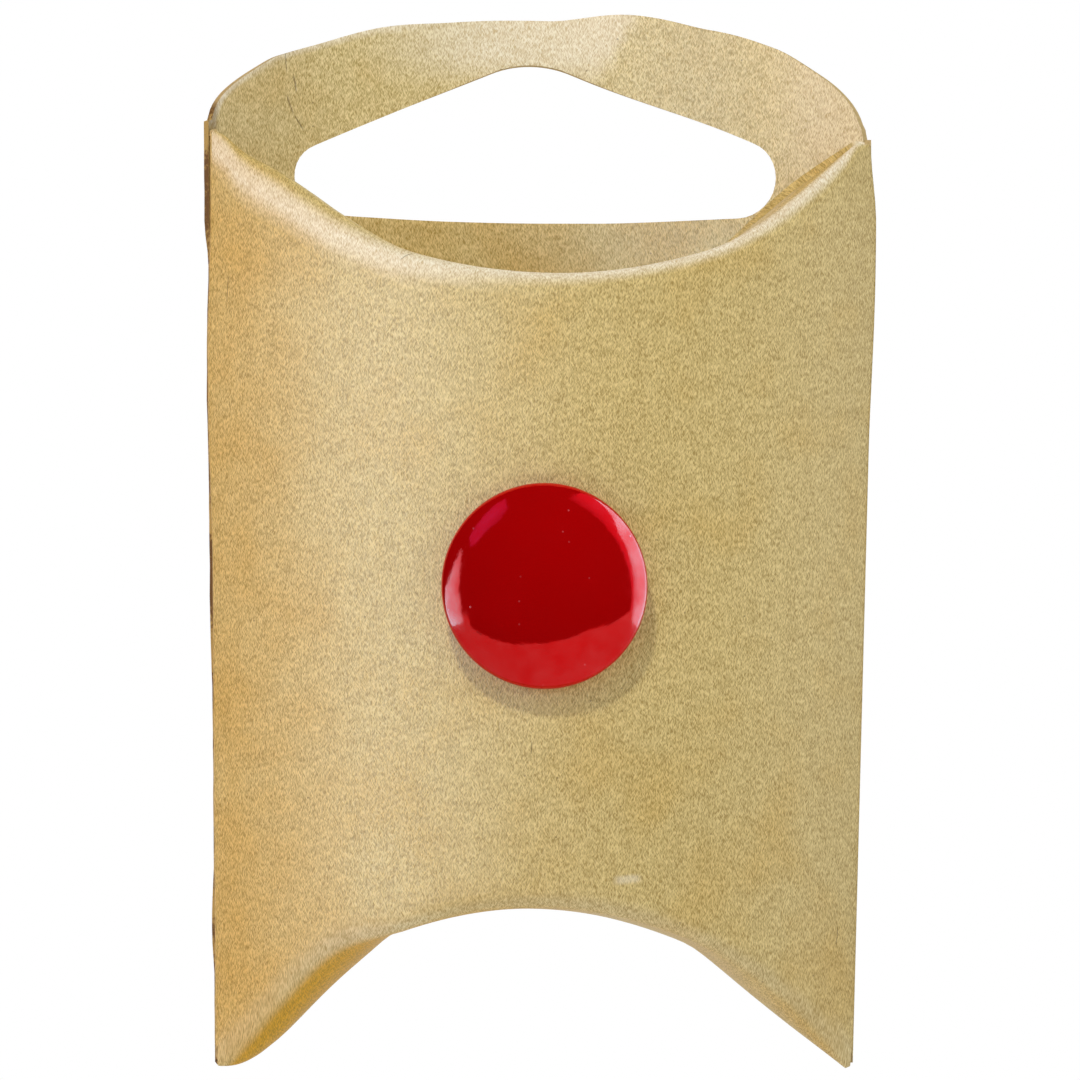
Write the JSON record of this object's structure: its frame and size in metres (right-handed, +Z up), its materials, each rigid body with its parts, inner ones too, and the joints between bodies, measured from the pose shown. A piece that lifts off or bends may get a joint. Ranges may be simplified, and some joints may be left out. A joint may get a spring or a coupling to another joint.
{
  "type": "hanging pillow pack of buttons",
  "caption": "Kraft-board pillow pack with curved folded ends and an upright hang tab with a roof-shaped hole, carrying a glossy red domed shank button on its front.",
  "frame": {"origin": "top of the hang hole, half-way through the board of the tab, where a peg carries the pack", "axes": "+Z up as it hangs, front with the button faces -Y, +X to the right seen from the front"},
  "size_m": [0.0456, 0.0245, 0.0744],
  "materials": {
    "kraft_board": "unbleached kraft board, matt, with visible fibres",
    "red_gloss": "deep red, polished",
    "pin_plastic": "natural nylon"
  },
  "bodies": {
    "root": {"pillow_pack": "kraft_board", "display_button": "red_gloss", "retaining_pin": "pin_plastic"}
  },
  "joints": []
}
